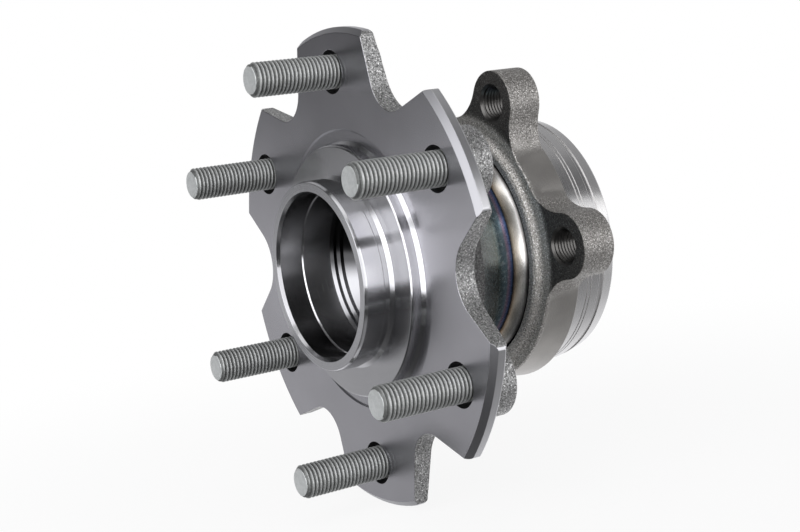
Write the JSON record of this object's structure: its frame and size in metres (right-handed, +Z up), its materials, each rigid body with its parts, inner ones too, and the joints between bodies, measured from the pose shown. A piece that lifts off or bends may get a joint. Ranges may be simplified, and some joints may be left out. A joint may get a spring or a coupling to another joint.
{
  "type": "wheel hub bearing unit",
  "caption": "Flanged driven wheel hub with pressed-in wheel studs, turning on ball rows in an outer ring with threaded ears and a pilot for the knuckle.",
  "frame": {"origin": "on the hub axis, in the plane of the ears' inboard mounting face, at the start of the knuckle pilot", "axes": "hub axis along Y, wheel side and studs towards -Y, drive shaft side towards +Y, +Z up as in the picture, +X to the right seen from the wheel side"},
  "size_m": [0.164, 0.117, 0.17],
  "materials": {
    "machined_steel": "fine-turned forged steel, rough forging left on the back of the flange",
    "forged_steel": "shot-blasted forging with turned pilot and seats",
    "bearing_steel": "ground and polished",
    "coated_stud_steel": "matt phosphate coating",
    "stainless_sheet": "bright rolled sheet",
    "seal_rubber": "moulded nitrile rubber",
    "encoder_rubber": "magnet-filled rubber",
    "cage_nylon": "glass-filled nylon"
  },
  "bodies": {
    "outer_ring_unit": {"outer_ring": "forged_steel", "outboard_seal_case": "stainless_sheet", "outboard_seal_lip": "seal_rubber", "inboard_seal_case": "stainless_sheet", "inboard_seal_lip": "seal_rubber"},
    "hub": {"hub_nose": "machined_steel", "hub_rotor_step": "machined_steel", "hub_flange": "machined_steel", "hub_spindle": "machined_steel", "inner_race": "bearing_steel", "outboard_slinger": "stainless_sheet", "inboard_slinger": "stainless_sheet", "encoder_ring": "encoder_rubber", "wheel_stud_1": "coated_stud_steel", "wheel_stud_2": "coated_stud_steel", "wheel_stud_3": "coated_stud_steel", "wheel_stud_4": "coated_stud_steel", "wheel_stud_5": "coated_stud_steel", "wheel_stud_6": "coated_stud_steel"},
    "outboard_ball_row": {"outboard_balls": "bearing_steel", "outboard_cage": "cage_nylon"},
    "inboard_ball_row": {"inboard_balls": "bearing_steel", "inboard_cage": "cage_nylon"}
  },
  "joints": [
    {"name": "hub_spin", "type": "hinge", "parent": "outer_ring_unit", "child": "hub", "pos_m": [0, 0, 0], "axis": [0, -1, 0], "continuous": true},
    {"name": "outboard_row_spin", "type": "hinge", "parent": "outer_ring_unit", "child": "outboard_ball_row", "pos_m": [0, 0, 0], "axis": [0, -1, 0], "continuous": true},
    {"name": "inboard_row_spin", "type": "hinge", "parent": "outer_ring_unit", "child": "inboard_ball_row", "pos_m": [0, 0, 0], "axis": [0, -1, 0], "continuous": true}
  ],
  "couplings": [
    {"joint": "outboard_row_spin", "follows": "hub_spin", "ratio": 0.4366},
    {"joint": "inboard_row_spin", "follows": "hub_spin", "ratio": 0.4366}
  ]
}
